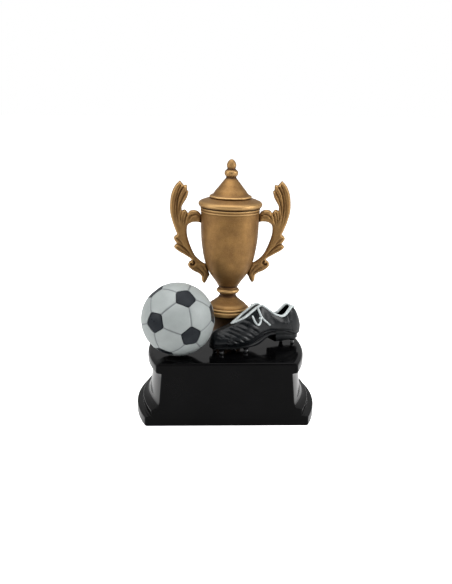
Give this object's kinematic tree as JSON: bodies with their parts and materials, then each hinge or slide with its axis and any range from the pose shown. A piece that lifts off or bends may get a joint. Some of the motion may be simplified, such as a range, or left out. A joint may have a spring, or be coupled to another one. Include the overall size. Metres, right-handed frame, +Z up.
{
  "type": "football figure trophy",
  "caption": "Football award: lidded two-handled cup in antique bronze behind a ball and a studded boot, on a glossy black moulded plinth with a flat front.",
  "frame": {"origin": "centre of the plinth's footprint in X, on the underside in Z, mid depth of the plinth in Y", "axes": "+X to the viewer's right, -Y out of the flat front face, +Z up; the cup's own axis leans 1.2 degrees from +Z towards +X"},
  "size_m": [0.0928, 0.0663, 0.1296],
  "materials": {
    "plinth_gloss": "high-gloss black lacquer on cast resin",
    "pad_felt": "black felt",
    "drum_paint": "dark brown paint on cast resin",
    "bronze_paint": "antique gold-bronze metallic paint with brown wash on cast resin",
    "zinc_steel": "zinc plated",
    "ball_white": "cool white satin paint on cast resin",
    "ball_black": "black satin paint",
    "boot_black": "blue-black satin paint on cast resin",
    "trim_white": "white paint",
    "tip_silver": "silver metallic paint"
  },
  "bodies": {
    "award": {"plinth": "plinth_gloss", "base_pad": "pad_felt", "pedestal": "drum_paint", "cup_foot": "bronze_paint", "cup_knop": "bronze_paint", "cup_bowl": "bronze_paint", "handle_right": "bronze_paint", "handle_left": "bronze_paint", "tie_rod": "zinc_steel", "tie_nut_top": "zinc_steel", "tie_nut_bottom": "zinc_steel", "tie_washer": "zinc_steel", "ball_core": "ball_white", "ball_peg": "zinc_steel", "boot_upper": "boot_black", "boot_tongue": "boot_black", "boot_insole": "boot_black", "boot_sole": "boot_black", "boot_throat_trim": "trim_white", "boot_collar_trim": "trim_white", "boot_lace": "trim_white", "ball_panel_01": "ball_black", "ball_panel_02": "ball_black", "ball_panel_03": "ball_black", "ball_panel_04": "ball_black", "ball_panel_05": "ball_black", "ball_panel_06": "ball_black", "ball_panel_07": "ball_black", "ball_panel_08": "ball_black", "ball_panel_09": "ball_black", "ball_panel_10": "ball_black", "ball_panel_11": "ball_black", "ball_panel_12": "ball_black", "boot_stud_1": "boot_black", "stud_tip_1": "tip_silver", "boot_stud_2": "boot_black", "stud_tip_2": "tip_silver", "boot_stud_3": "boot_black", "stud_tip_3": "tip_silver", "boot_stud_4": "boot_black", "stud_tip_4": "tip_silver", "boot_stud_5": "boot_black", "stud_tip_5": "tip_silver", "boot_stud_6": "boot_black", "stud_tip_6": "tip_silver"},
    "lid": {"lid": "bronze_paint", "lid_finial": "bronze_paint"}
  },
  "joints": [
    {"name": "lid_lift", "type": "slide", "parent": "award", "child": "lid", "axis": [0.0209, 0, 0.9998], "range_m": [0, 0.04]}
  ]
}
